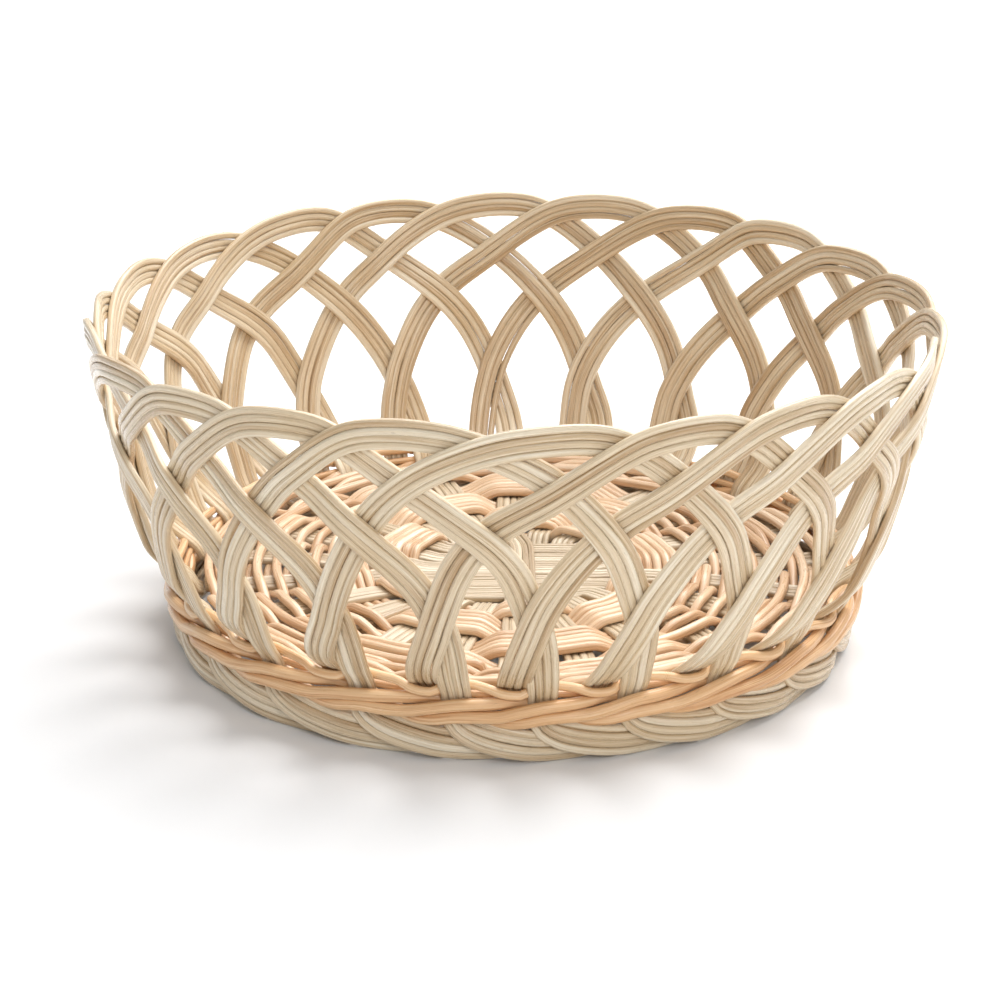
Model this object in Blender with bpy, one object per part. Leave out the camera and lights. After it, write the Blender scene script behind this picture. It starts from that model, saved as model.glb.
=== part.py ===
"""Round openwork bread basket of plaited willow rods, 255 mm across.

Twenty-two flat bands of four rods make interlaced arches. Each band rises from the base,
arches over the rim, comes down outside a twined belt and turns into one stroke of the
plaited foot. Eleven spoke bundles cross in the middle of the base and are woven with a
spiral band of weavers and a few single rows.
"""

import math

import bpy
import numpy as np

MM = 0.001

# Arches and their layout around the axis
ARCHES = 22
PITCH = 2.0 * math.pi / ARCHES
FIRST_CREST = math.radians(-85.56)
HALF_SPAN = 2.17            # pitches from crest to foot
CREST_Z = 99.3
FOOT_Z = 21.0
ARCH_POWER = 0.62
ARCH_DIP = 4.0               # how much straighter than the plain curve the flanks are
DIP_FROM, DIP_TO = 0.25, 2.0
CREST_WAVE = 2.3            # the rim is low at the sides and high in front and behind
# Hand-made unevenness: degrees that each crest, and the foot at an azimuth, sit off even
CREST_LEAN = (1.5, 0.5, -0.5, -0.5, 1, -0.5, 0.5, 1.5, 0.5, -2, -1.5,
              -1.5, 0, -2, 0.5, 1.5, 1, -1.5, 2, 1, 0, -2)
FOOT_LEAN = ((-180, 0), (-140, 0.6), (-115, 1.8), (-102, 1), (-88, -1.6), (-72, -4.4),
             (-55, -5.8), (-35, -6.2), (0, -4.5), (60, -2), (120, -0.5), (180, 0))
MID_LEAN = ((-180, 1), (-158, 1), (-137, 2.4), (-118, 3), (-102, 1.8), (-94, 0.4),
            (-86, -1.4), (-76, -2.8), (-55, -3.8), (-36, -4), (0, -3.2), (20, -2.4), (40, -1.2),
            (60, -0.6), (80, 0), (100, -0.6), (120, 0), (136, 1), (152, 1.4), (180, 1))
LEAN_FOOT, LEAN_RISE = 25.0, 45.0    # heights between which the foot's lean turns into the middle's
LEAN_FADE, LEAN_TOP = 48.0, 97.0     # heights between which the middle's lean turns into the rim's
LEAN_INNER, LEAN_OUTER = 50.0, 95.0  # radii between which the lean sets in

# One band of four rods
BAND_WIDTH = 7.4
BAND_THICK = 1.75
WEAVE_SHIFT = 1.3           # radial shift to the outer or the inner side of a crossing

# Wall centre line: height, radius
WALL = ((25, 107.6), (37.5, 111.8), (46, 114.4), (56, 117.0), (75, 121.0),
        (90, 123.6), (97, 124.8), (103, 125.2), (106, 125.3))
# Lower legs: height, radius
FIRST_LEG = ((17.4, 97.5), (19.6, 98.2), (22, 100.5), (25, 104.4), (29, 108.6),
             (33, 111.3), (38, 113.15), (46.3, 115.7))
SECOND_LEG = ((13.6, 101.9), (16.5, 101.9), (19.5, 102.4), (22, 103.9), (25, 105.8),
              (29, 107.5), (33, 108.95), (38, 110.8), (46.3, 113.2))

# Twined belt of three strands and the single row above it
WALE_RADIUS = 1.4
ROW_RADIUS = 1.15
# Strand place in the belt at quarter steps of its three-stake period: radius, height
WALE_STEPS = ((104.6, 14.0), (104.7, 14.8), (104.8, 15.7), (104.9, 16.6),
              (104.9, 17.5), (104.2, 18.4), (102.7, 18.9), (100.9, 18.4),
              (99.3, 16.4), (100.0, 14.5), (101.9, 13.4), (104.0, 13.4))
WALE_RUNS = ((2, 23), (1, 22), (0, 24))
BUTT = 0.012                # pitches cut off each strand end
ROW_STEPS = ((-0.60, 102.8, 22.4), (-0.47, 103.9, 21.4), (-0.23, 103.9, 21.4),
             (-0.12, 102.0, 23.0), (0.0, 101.5, 23.3), (0.13, 101.7, 23.2))

# Plaited foot: tube that the strokes lie on
FOOT_RING = 99.0
FOOT_RING_Z = 5.4
FOOT_REACH = 3.1
FOOT_RISE = 4.75
TURN_RADIUS = 5.2
STROKE_DROP = math.radians(76.0)
STROKE_STEP = math.radians(122.0)
STROKE_END = 1.85

# Base
BASE_Z = 16.5
SPOKE_WIDTH = 7.0
SPOKE_THICK = 1.75
SPOKE_SHIFT = 1.2
CROSS_STEP = 7.6
CROSS_HALF = 17.0
CROSS_OUT = 39.0
LAYER = 1.95
SPOKE_END = 94.7
SPOKE_TURN = math.radians(1.17)
ROUND_WIDTH = 11.0
ROUND_THICK = 2.2
ROUND_STEP = 15.0
ROUND_START = 40.5
ROUND_TURNS = 2.7
ROUND_SHIFT = 1.2
ROUND_EDGE = 1.8             # half of the gap where spokes pass between rounds
SEAM = math.radians(-75.0)
ROW_SIZE = 1.4
ROW_LIFT = 2.5
OUTER_ROWS = (83.4, 86.5, 89.6, 92.7)


def clear_scene():
    for item in list(bpy.data.objects):
        bpy.data.objects.remove(item, do_unlink=True)


def smooth(t):
    t = min(max(t, 0.0), 1.0)
    return t * t * (3.0 - 2.0 * t)


def table(pairs, x):
    """Smooth value of a table of pairs at x (cubic through its points)."""
    xs = [p[0] for p in pairs]
    ys = [p[1] for p in pairs]
    if x <= xs[0]:
        return ys[0]
    if x >= xs[-1]:
        return ys[-1]
    i = max(k for k in range(len(xs) - 1) if xs[k] <= x)
    h = xs[i + 1] - xs[i]
    slopes = []
    for k in (i, i + 1):
        a = max(k - 1, 0)
        b = min(k + 1, len(xs) - 1)
        slopes.append((ys[b] - ys[a]) / (xs[b] - xs[a]))
    t = (x - xs[i]) / h
    h00 = 2 * t ** 3 - 3 * t ** 2 + 1
    h10 = t ** 3 - 2 * t ** 2 + t
    h01 = -2 * t ** 3 + 3 * t ** 2
    h11 = t ** 3 - t ** 2
    return h00 * ys[i] + h10 * h * slopes[0] + h01 * ys[i + 1] + h11 * h * slopes[1]


def cylinder_point(azimuth, radius, height):
    return np.array((radius * math.cos(azimuth), radius * math.sin(azimuth), height))


def tangents(points):
    """Unit direction at each point, from its neighbours."""
    out = []
    for i in range(len(points)):
        a = points[max(i - 1, 0)]
        b = points[i]
        c = points[min(i + 1, len(points) - 1)]
        before = b - a
        after = c - b
        lb = np.linalg.norm(before)
        la = np.linalg.norm(after)
        if lb < 1e-9:
            d = after / la
        elif la < 1e-9:
            d = before / lb
        else:
            d = before / lb * la + after / la * lb
        out.append(d / np.linalg.norm(d))
    return out


def crest_lean(azimuth):
    """Lean in degrees at the rim, smooth from crest to crest."""
    place = (azimuth - FIRST_CREST) / PITCH
    left = math.floor(place)
    part = smooth(place - left)
    return CREST_LEAN[left % ARCHES] * (1.0 - part) + CREST_LEAN[(left + 1) % ARCHES] * part


def uneven(point):
    """Turn a point round the axis by the unevenness of the hand-made basket there."""
    azimuth = math.atan2(point[1], point[0])
    rise = smooth((point[2] - LEAN_FOOT) / (LEAN_RISE - LEAN_FOOT))
    top = smooth((point[2] - LEAN_FADE) / (LEAN_TOP - LEAN_FADE))
    set_in = smooth((math.hypot(point[0], point[1]) - LEAN_INNER) / (LEAN_OUTER - LEAN_INNER))
    low = table(FOOT_LEAN, math.degrees(azimuth))
    high = table(MID_LEAN, math.degrees(azimuth)) * (1.0 - top) + crest_lean(azimuth) * top
    lean = math.radians(low * (1.0 - rise) + high * rise) * set_in
    c, s = math.cos(lean), math.sin(lean)
    return np.array((c * point[0] - s * point[1], s * point[0] + c * point[1], point[2]))


def add_body(name, verts, faces, colour):
    mesh = bpy.data.meshes.new(name)
    mesh.from_pydata([tuple(uneven(v) * MM) for v in verts], [], faces)
    mesh.update()
    obj = bpy.data.objects.new(name, mesh)
    bpy.context.scene.collection.objects.link(obj)
    material = bpy.data.materials.new("mat_" + name)
    material.use_nodes = True
    shader = material.node_tree.nodes["Principled BSDF"]
    shader.inputs["Base Color"].default_value = colour
    shader.inputs["Roughness"].default_value = 0.45
    obj.data.materials.append(material)
    return obj


def loft(sections, closed=False):
    """Verts and outward faces of a tube through rings of equally many points."""
    n = len(sections[0])
    verts = [p for ring in sections for p in ring]
    faces = []
    count = len(sections)
    for i in range(count if closed else count - 1):
        a = i * n
        b = ((i + 1) % count) * n
        for k in range(n):
            m = (k + 1) % n
            faces.append((a + k, a + m, b + m, b + k))
    if not closed:
        faces.append(tuple(reversed(range(n))))
        last = (count - 1) * n
        faces.append(tuple(last + k for k in range(n)))
    return verts, faces


def band(points, normals, width, thick, floor=None):
    """Flat strip: a rectangle carried along the points, its face along the normals."""
    rings = []
    for p, t, n in zip(points, tangents(points), normals):
        side = np.cross(t, n)
        side = side / np.linalg.norm(side)
        up = np.cross(side, t)
        ring = []
        for a, b in ((-1, -1), (-1, 1), (1, 1), (1, -1)):
            q = p + side * (a * width / 2) + up * (b * thick / 2)
            if floor is not None:
                q[2] = max(q[2], floor)
            ring.append(q)
        rings.append(ring)
    return loft(rings)


def rod(points, radius, sides=5, closed=False):
    """Round rod carried along the points."""
    count = len(points)
    rings = []
    for i, p in enumerate(points):
        if closed:
            t = points[(i + 1) % count] - points[i - 1]
        else:
            t = points[min(i + 1, count - 1)] - points[max(i - 1, 0)]
        t = t / np.linalg.norm(t)
        out = np.array((p[0], p[1], 0.0))
        out = out - t * out.dot(t)
        out = out / np.linalg.norm(out)
        up = np.cross(t, out)
        ring = []
        for k in range(sides):
            a = 2.0 * math.pi * (k + 0.5) / sides
            ring.append(p + out * (radius * math.cos(a)) + up * (radius * math.sin(a)))
        rings.append(ring)
    return loft(rings, closed)


def wall_radius(z):
    return table(WALL, z)


def crest_height(azimuth):
    return CREST_Z - CREST_WAVE * math.cos(2.0 * azimuth)


def arch_height(s, azimuth):
    u = min(abs(s) / HALF_SPAN, 1.0)
    flank = min(max(abs(s), DIP_FROM), DIP_TO)
    dip = ARCH_DIP * math.sin(math.pi * (flank - DIP_FROM) / (DIP_TO - DIP_FROM)) ** 2
    return FOOT_Z + (crest_height(azimuth) - FOOT_Z) * (1.0 - u * u) ** ARCH_POWER - dip


def arch_offset(s):
    """Outer (+) or inner (-) side of the wall at s pitches from the crest."""
    d = abs(s)
    if d < 1.17:
        value = smooth(d / 0.16)
    elif d < 1.63:
        value = 1.0 - 2.0 * smooth((d - 1.17) / 0.2)
    else:
        value = -1.0 + 2.0 * smooth((d - 1.63) / 0.23)
    return -value * WEAVE_SHIFT if s > 0 else value * WEAVE_SHIFT


def leg_shift(z):
    """Pitches from the crest for a height on the lower leg."""
    if z <= FOOT_Z:
        return HALF_SPAN
    low = (z - FOOT_Z) / (CREST_Z - FOOT_Z)
    return HALF_SPAN * math.sqrt(1.0 - low ** (1.0 / ARCH_POWER))


def leaning_normal(azimuth, z, radius_of):
    slope = (radius_of(z + 1.0) - radius_of(z - 1.0)) / 2.0
    n = np.array((math.cos(azimuth), math.sin(azimuth), -slope))
    return n / np.linalg.norm(n)


def arch(crest):
    """Centre line and normals of one band, from the base to its foot stroke."""
    points = []
    normals = []
    # Turned-up start beside the spoke end
    start = crest - HALF_SPAN * PITCH
    for r, z, lean in ((95.1, BASE_Z, 0.0), (96.4, 16.6, 0.3), (97.2, 17.1, 0.8)):
        points.append(cylinder_point(start, r, z))
        normals.append(np.array((math.cos(start) * lean, math.sin(start) * lean, -1.0 + lean)))
    for z in (18.2, 20.3, 23, 27, 32, 38):
        azimuth = crest - leg_shift(z) * PITCH
        points.append(cylinder_point(azimuth, table(FIRST_LEG, z), z))
        normals.append(leaning_normal(azimuth, z, lambda h: table(FIRST_LEG, h)))
    side = (2.0, 1.86, 1.63, 1.37, 1.17, 0.92, 0.67, 0.42, 0.16)
    stations = [-s for s in side] + [0.0] + list(reversed(side))
    for s in stations:
        azimuth = crest + s * PITCH
        z = arch_height(s, crest)
        points.append(cylinder_point(azimuth, wall_radius(z) + arch_offset(s), z))
        normals.append(leaning_normal(azimuth, min(z, 100.0), wall_radius))
    for z in (38, 32, 27, 23, 19.5, 16.5, 13.6):
        azimuth = crest + leg_shift(z) * PITCH
        points.append(cylinder_point(azimuth, table(SECOND_LEG, z), z))
        normals.append(leaning_normal(azimuth, z, lambda h: table(SECOND_LEG, h)))
    # Turn into the foot stroke, within the band's own face
    foot = crest + HALF_SPAN * PITCH
    top = 13.6
    for angle in (25, 50, 76):
        a = math.radians(angle)
        along = TURN_RADIUS * (1.0 - math.cos(a))
        z = top - TURN_RADIUS * math.sin(a)
        r = 101.9 + 0.3 * math.sin(a)
        azimuth = foot + along / 102.0
        lean = 0.35 * math.sin(a)
        points.append(cylinder_point(azimuth, r, z))
        normals.append(np.array((math.cos(azimuth), math.sin(azimuth), lean)))
    first = TURN_RADIUS * (1.0 - math.cos(STROKE_DROP)) / 102.0 / PITCH
    psi0 = math.asin((top - TURN_RADIUS * math.sin(STROKE_DROP) - FOOT_RING_Z) / FOOT_RISE)
    for t in np.arange(first + 0.25, STROKE_END + 0.01, 0.25):
        psi = psi0 - (t - first) * STROKE_STEP
        azimuth = foot + t * PITCH
        r = FOOT_RING + FOOT_REACH * math.cos(psi)
        z = FOOT_RING_Z + FOOT_RISE * math.sin(psi)
        nr = math.cos(psi) / FOOT_REACH
        nz = math.sin(psi) / FOOT_RISE
        points.append(cylinder_point(azimuth, r, z))
        normals.append(np.array((math.cos(azimuth) * nr, math.sin(azimuth) * nr, nz)))
    return points, normals


def stake_azimuth(k):
    """Azimuth of second leg k, where it passes the belt."""
    return FIRST_CREST + (k + HALF_SPAN) * PITCH


def wale_strand(run):
    points = []
    for q in range(4 * run[0], 4 * run[1] + 1):
        r, z = WALE_STEPS[(q + 4 * (2 - run[0])) % 12]
        place = min(max(q / 4.0, run[0] + BUTT), run[1] - BUTT)
        points.append(cylinder_point(stake_azimuth(place), r, z))
    return points


def upper_row():
    points = []
    for k in range(ARCHES):
        for step, r, z in ROW_STEPS:
            points.append(cylinder_point(stake_azimuth(k + step), r, z))
    return points


def spoke_azimuth(e):
    return SPOKE_TURN + (e + 0.5) * PITCH


def spiral_radius(theta):
    """Centre radius of the woven round after a turn of theta."""
    return ROUND_START + ROUND_WIDTH / 2 + ROUND_STEP * theta / (2.0 * math.pi)


def spiral_theta(azimuth, turn):
    """Turn angle of the clockwise spiral at an azimuth, in the given turn."""
    start = SEAM + 2.0 * math.pi * (ROUND_TURNS % 1.0)
    return (start - azimuth) % (2.0 * math.pi) + 2.0 * math.pi * turn


def pair_wave(theta):
    """Weaver side at turn angle theta: +1 over a pair of spokes, -1 under it."""
    start = SEAM + 2.0 * math.pi * (ROUND_TURNS % 1.0)
    place = (SPOKE_TURN + PITCH - start + theta) / (2.0 * PITCH)
    near = round(place)
    side = 1.0 if near % 2 == 0 else -1.0
    return side * smooth((0.5 - abs(place - near)) / 0.13)


def spoke_height(azimuth, radius, inner):
    """Spoke height: layered at the cross, then bent by the woven rounds."""
    shift = 0.0
    for turn in range(3):
        theta = spiral_theta(azimuth, turn)
        if theta > ROUND_TURNS * 2.0 * math.pi:
            continue
        gap = abs(radius - spiral_radius(theta))
        if gap < ROUND_STEP / 2 + ROUND_EDGE:
            weight = smooth((ROUND_STEP / 2 + ROUND_EDGE - gap) / ROUND_EDGE / 2.0)
            shift -= weight * math.copysign(SPOKE_SHIFT, pair_wave(theta))
    blend = smooth((radius - 33.0) / 4.5)
    return (1.0 - blend) * inner + blend * (BASE_Z + shift)


def spoke(across, index):
    """Centre line of one bundle from end to end, through the cross."""
    count = 5 if across else 6
    lane = (index - (count - 1) / 2.0) * CROSS_STEP
    if across:
        inner = BASE_Z - 0.7 + (LAYER if index == 2 else -LAYER)
        ends = (spoke_azimuth(5 - index + 2), spoke_azimuth(13 + index + 1))
    else:
        inner = BASE_Z - 0.7
        ends = (spoke_azimuth(index - 3), spoke_azimuth(13 - index))
    halves = []
    for sign, azimuth in ((1.0, ends[0]), (-1.0, ends[1])):
        line = []
        a = np.array((CROSS_HALF * sign, lane)) if not across else np.array((lane, CROSS_HALF * sign))
        d0 = np.array((sign, 0.0)) if not across else np.array((0.0, sign))
        b = CROSS_OUT * np.array((math.cos(azimuth), math.sin(azimuth)))
        d1 = np.array((math.cos(azimuth), math.sin(azimuth)))
        turn = np.array(((math.cos(SPOKE_TURN), -math.sin(SPOKE_TURN)),
                         (math.sin(SPOKE_TURN), math.cos(SPOKE_TURN))))
        a = turn @ a
        d0 = turn @ d0
        reach = np.linalg.norm(b - a)
        for t in (0.0, 0.35, 0.7):
            h00 = 2 * t ** 3 - 3 * t ** 2 + 1
            h10 = t ** 3 - 2 * t ** 2 + t
            h01 = -2 * t ** 3 + 3 * t ** 2
            h11 = t ** 3 - t ** 2
            p = h00 * a + h10 * reach * d0 + h01 * b + h11 * reach * d1
            r = float(np.linalg.norm(p))
            line.append(np.array((p[0], p[1], spoke_height(azimuth, r, inner))))
        stops = [CROSS_OUT]
        for turn_number in range(3):
            theta = spiral_theta(azimuth, turn_number)
            middle = spiral_radius(theta)
            for edge in (-ROUND_STEP / 2 - ROUND_EDGE, -ROUND_STEP / 2 + ROUND_EDGE,
                         ROUND_STEP / 2 - ROUND_EDGE, ROUND_STEP / 2 + ROUND_EDGE):
                stops.append(middle + edge)
        stops.append(SPOKE_END)
        stops = sorted(s for s in stops if CROSS_OUT <= s <= SPOKE_END)
        last = -10.0
        for s in stops:
            if s - last < 0.9 and s != SPOKE_END:
                continue
            last = s
            line.append(cylinder_point(azimuth, s, spoke_height(azimuth, s, inner)))
        halves.append(line)
    return list(reversed(halves[1])) + halves[0]


def woven_round(turn):
    """One turn of the spiral band that goes over and under the spoke pairs."""
    start = SEAM + 2.0 * math.pi * (ROUND_TURNS % 1.0)
    low = 2.0 * math.pi * turn
    high = 2.0 * math.pi * min(turn + 1.0, ROUND_TURNS)
    marks = [low + 0.012, high - 0.012]
    offset = (SPOKE_TURN + PITCH - start) / (2.0 * PITCH)
    for m in range(-9, 60):
        for part in (-0.37, 0.0, 0.37, 0.5):
            theta = (m + part - offset) * 2.0 * PITCH
            if low + 0.03 < theta < high - 0.03:
                marks.append(theta)
    points = []
    for theta in sorted(marks):
        z = BASE_Z + ROUND_SHIFT * pair_wave(theta)
        points.append(cylinder_point(start - theta, spiral_radius(theta), z))
    return points


def outer_row(index):
    """Single row from the seam to where the spiral reaches it."""
    radius = OUTER_ROWS[index]
    start = SEAM
    last = (ROUND_TURNS - 1.0) * 2.0 * math.pi
    edge = spiral_radius(last) + ROUND_STEP / 2 + ROUND_EDGE
    turn = (radius - ROW_SIZE - 0.3 - edge) / ROUND_STEP * 2.0 * math.pi
    marks = [0.05, turn]
    points = []
    offset = (SPOKE_TURN + PITCH - start) / (2.0 * PITCH)
    for m in range(-9, 20):
        for part in (-0.35, 0.0, 0.35, 0.5):
            theta = (m + part - offset) * 2.0 * PITCH
            if 0.08 < theta < turn - 0.03:
                marks.append(theta)
    for theta in sorted(marks):
        azimuth = start - theta
        place = (azimuth - SPOKE_TURN - PITCH) / (2.0 * PITCH)
        near = round(place)
        side = 1.0 if (near + index) % 2 == 0 else -1.0
        wave = side * smooth((0.5 - abs(place - near)) / 0.15)
        points.append(cylinder_point(azimuth, radius, BASE_Z + ROW_LIFT * wave))
    return points


def main():
    clear_scene()
    straw = (0.82, 0.70, 0.50, 1.0)
    peach = (0.88, 0.66, 0.44, 1.0)
    grey = (0.74, 0.68, 0.54, 1.0)
    for k in range(ARCHES):
        points, normals = arch(FIRST_CREST + k * PITCH)
        verts, faces = band(points, normals, BAND_WIDTH, BAND_THICK, 0.0)
        add_body(f"arch_{k + 1:02d}", verts, faces, straw)
    for k, run in enumerate(WALE_RUNS):
        points = wale_strand(run)
        verts, faces = rod(points, WALE_RADIUS)
        add_body(f"wale_strand_{k + 1}", verts, faces, peach)
    verts, faces = rod(upper_row(), ROW_RADIUS, closed=True)
    add_body("upper_row", verts, faces, peach)
    upright = np.array((0.0, 0.0, 1.0))
    for k in range(11):
        points = spoke(k >= 6, k - 6 if k >= 6 else k)
        verts, faces = band(points, [upright] * len(points), SPOKE_WIDTH, SPOKE_THICK)
        add_body(f"spoke_{k + 1:02d}", verts, faces, grey)
    for turn in range(3):
        points = woven_round(turn)
        verts, faces = band(points, [upright] * len(points), ROUND_WIDTH, ROUND_THICK)
        add_body(f"woven_round_{turn + 1}", verts, faces, peach)
    for k in range(len(OUTER_ROWS)):
        verts, faces = rod(outer_row(k), ROW_SIZE)
        add_body(f"outer_row_{k + 1}", verts, faces, peach)


main()
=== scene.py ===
"""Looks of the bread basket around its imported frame: willow rods, floor, light, camera."""
import math

import bpy
import numpy as np
from mathutils import Matrix, Vector


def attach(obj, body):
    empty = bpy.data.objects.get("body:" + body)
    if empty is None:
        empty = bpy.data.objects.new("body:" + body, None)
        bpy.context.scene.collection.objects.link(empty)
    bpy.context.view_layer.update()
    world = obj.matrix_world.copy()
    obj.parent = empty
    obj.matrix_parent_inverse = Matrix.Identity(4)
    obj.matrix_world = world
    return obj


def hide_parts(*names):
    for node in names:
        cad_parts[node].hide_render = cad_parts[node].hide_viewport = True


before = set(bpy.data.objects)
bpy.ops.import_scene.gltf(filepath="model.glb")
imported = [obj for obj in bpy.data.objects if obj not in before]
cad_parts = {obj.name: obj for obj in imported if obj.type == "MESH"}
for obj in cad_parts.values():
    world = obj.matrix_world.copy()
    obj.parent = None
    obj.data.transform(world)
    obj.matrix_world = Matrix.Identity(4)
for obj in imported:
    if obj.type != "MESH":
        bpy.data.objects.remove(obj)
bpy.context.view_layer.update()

MM = 0.001
TAU = 2.0 * math.pi

# ---------------------------------------------------------------- layout, in mm
ARCHES = 22
PITCH = TAU / ARCHES
FIRST_CREST = math.radians(-85.56)
HALF_SPAN = 2.17             # pitches from a crest to either foot of its arch
CREST_Z = 99.3
FOOT_Z = 21.0
BASE_Z = 16.5
ARCH_POWER = 0.62            # shape of an arch: 0.5 would be half an ellipse
ARCH_DIP = 4.0               # how far the flanks lie below the plain curve
DIP_FROM, DIP_TO = 0.25, 2.0  # pitches from the crest between which they do
CREST_WAVE = 2.3             # the rim is this much higher at the front and back
CREST_ROUGH = 0.5            # spread of the heights of the crests
WEAVE_SHIFT = 1.15           # how far a band lies outside or inside the wall
# Pitches from the crest at which a band changes side, and the length of a change
CREST_TURN, FLANK_TURN, LOW_TURN, TURN_LENGTH = 0.36, 1.05, 1.53, 0.4
# Hand-made unevenness, in degrees off the even layout: crest by crest at the rim, and by
# azimuth at the foot and in the middle of the wall
CREST_LEAN = (1.5, 0.5, -0.5, -0.5, 1, -0.5, 0.5, 1.5, 0.5, -2, -1.5,
              -1.5, 0, -2, 0.5, 1.5, 1, -1.5, 2, 1, 0, -2)
FOOT_LEAN = ((-180, 0), (-140, 0.6), (-115, 1.8), (-102, 1), (-88, -1.6), (-72, -4.4),
             (-55, -5.8), (-35, -6.2), (0, -4.5), (60, -2), (120, -0.5), (180, 0))
MID_LEAN = ((-180, 1), (-158, 1), (-137, 2.4), (-118, 3), (-102, 1.8), (-94, 0.4),
            (-86, -1.4), (-76, -2.8), (-55, -3.8), (-36, -4), (0, -3.2), (20, -2.4), (40, -1.2),
            (60, -0.6), (80, 0), (100, -0.6), (120, 0), (136, 1), (152, 1.4), (180, 1))
LEAN_FOOT, LEAN_RISE = 25.0, 45.0    # heights between which the foot's lean turns into the middle's
LEAN_FADE, LEAN_TOP = 48.0, 97.0     # heights between which the middle's lean turns into the rim's
LEAN_INNER, LEAN_OUTER = 50.0, 95.0  # radii between which the lean sets in
# Height and radius: of the wall, and of the two ends of a band where it passes the belt
WALL = ((25, 107.6), (37.5, 111.8), (46, 114.4), (56, 117.0), (75, 121.0),
        (90, 123.6), (97, 124.8), (103, 125.2), (106, 125.3))
FIRST_LEG = ((17.4, 97.5), (19.6, 98.2), (22, 100.5), (25, 104.4), (29, 108.6),
             (33, 111.3), (38, 113.15), (46.3, 115.7))
SECOND_LEG = ((13.6, 101.9), (16.5, 101.9), (19.5, 102.4), (22, 103.9), (25, 105.8),
              (29, 107.5), (33, 108.95), (38, 110.8), (46.3, 113.2))
# Heights at which the two ends of a band are placed, and how it starts in the base: radius,
# height and how far it has turned up
FIRST_HEIGHTS = (18.2, 19.6, 21.3, 23, 25, 27, 29.5, 32, 35, 38, 41)
SECOND_HEIGHTS = (41, 38, 35, 32, 29.5, 27, 25, 23, 21, 19, 17, 15.2)
BAND_START = ((95.1, BASE_Z, 0.0), (96.2, 16.55, 0.25), (97.0, 17.1, 0.75))
# Steps along the arch in pitches: on the flanks, and on the crest between -1 and 1
ARCH_END, FLANK_STEP, CREST_STEP = 2.0, 0.075, 0.1
# Widths of a band as parts of its usual width
LEG_WIDER, FLANK_WIDER, END_WIDTH, STROKE_WIDTH, STROKE_WIDER = 0.12, 0.1, 0.98, 0.96, 0.13
BELT_Z = 17.0                # height from which the ends of a band widen
CROWN, STROKE_CROWN = 0.012, 0.05    # how a band falls away from its middle, by distance squared
# Radius and height of a strand, four steps to a pitch, and the stakes it runs between
WALE_STEPS = ((104.6, 14.0), (104.7, 14.8), (104.8, 15.7), (104.9, 16.6),
              (104.9, 17.5), (104.2, 18.4), (102.7, 18.9), (100.9, 18.4),
              (99.3, 16.4), (100.0, 14.5), (101.9, 13.4), (104.0, 13.4))
WALE_RUNS = ((2, 23), (1, 22), (0, 24))
WALE_MIDDLE, WALE_SWING, WALE_RIPPLE = 16.6, 1.05, 0.55
WALE_OUT = 0.3               # how much further out than in the CAD a strand runs
WALE_INSET = 0.02            # how far from the stake, in pitches, a strand is cut
WALE_ROD, ROW_ROD = 1.78, 1.3
WALE_ROUGH, ROW_ROUGH = 0.12, 0.1    # spread of the heights of single points
PACKING_RADIUS, PACKING_Z, PACKING_ROD, PACKING_POINTS = 100.4, 19.7, 1.05, 66
# The upper row at one stake: pitches past the stake, radius, height
ROW_STEPS = ((-0.60, 102.8, 22.4), (-0.47, 103.9, 21.4), (-0.35, 104.1, 21.2),
             (-0.23, 103.9, 21.4), (-0.12, 102.0, 23.0), (0.0, 101.5, 23.3),
             (0.13, 101.7, 23.2))
# One stroke of the foot: pitches past the stake, radius, height
STROKE = ((0.0, 101.9, 13.6), (0.015, 102.0, 12.3), (0.055, 102.2, 11.0), (0.13, 102.5, 9.8),
          (0.25, 102.9, 8.7), (0.42, 103.3, 7.6), (0.62, 103.4, 6.6), (0.82, 103.1, 5.7),
          (0.98, 102.3, 5.1), (1.12, 101.4, 4.7), (1.3, 100.6, 4.5), (1.5, 100.1, 4.7),
          (1.7, 99.8, 5.2), (1.85, 99.6, 5.7))
CROSS_STEP, CROSS_HALF, CROSS_OUT, LAYER = 7.6, 15.0, 30.0, 1.95
CROSS_SIDE = 3.0             # the bundle that lies on top sits right of the middle
CROSS_DROP, CROSS_OVERLAP = 0.7, 8.0
CROSS_FROM, CROSS_FADE = 25.0, 6.0   # radii over which the layers of the cross become one
SPOKES, FIRST_WAY = 11, 6    # six spokes lie one way, five the other
SPOKE_END, SPOKE_STEP = 94.7, 1.4
SPOKE_TURN = math.radians(1.17)
SPOKE_SHIFT = 0.3
SPOKE_NARROW, SPOKE_SPREAD = 0.88, 0.2   # width scale at the cross, and its growth outward
SPREAD_FROM, SPREAD_WIDTH = 30.0, 25.0
# Base weave: five rods side by side, wound clockwise from the cross out to the wall
WEAVERS = 5
WEAVE_PITCH = 2.95
WEAVE_START, WEAVE_END = 31.4, 95.4
WEAVE_FROM = math.radians(177.0)
WEAVE_STEP = PITCH / 12.0
WEAVE_LIFT, BRICK_LIFT = 2.15, 2.3
WEAVE_RISE, WEAVE_SAG = 0.3, 0.12
CHANGE_WIDTH = 0.62          # share of a pitch in which a weaver changes side
ROUND_MARKS = (1.2, 2.3, 3.3)        # turns at which a woven round ends
ROUND_OVERLAP = 0.02
BRICK_RADIUS = 57.0          # beyond it the rows alternate singly at the left and the right
BRICK_SIDE = 0.74
COVER_RADIUS = 78.0          # beyond it every third weaver dips under, the others hide the spokes
RIM_RISE, RIM_FROM, RIM_WIDTH = 1.6, 84.0, 11.0
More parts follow.
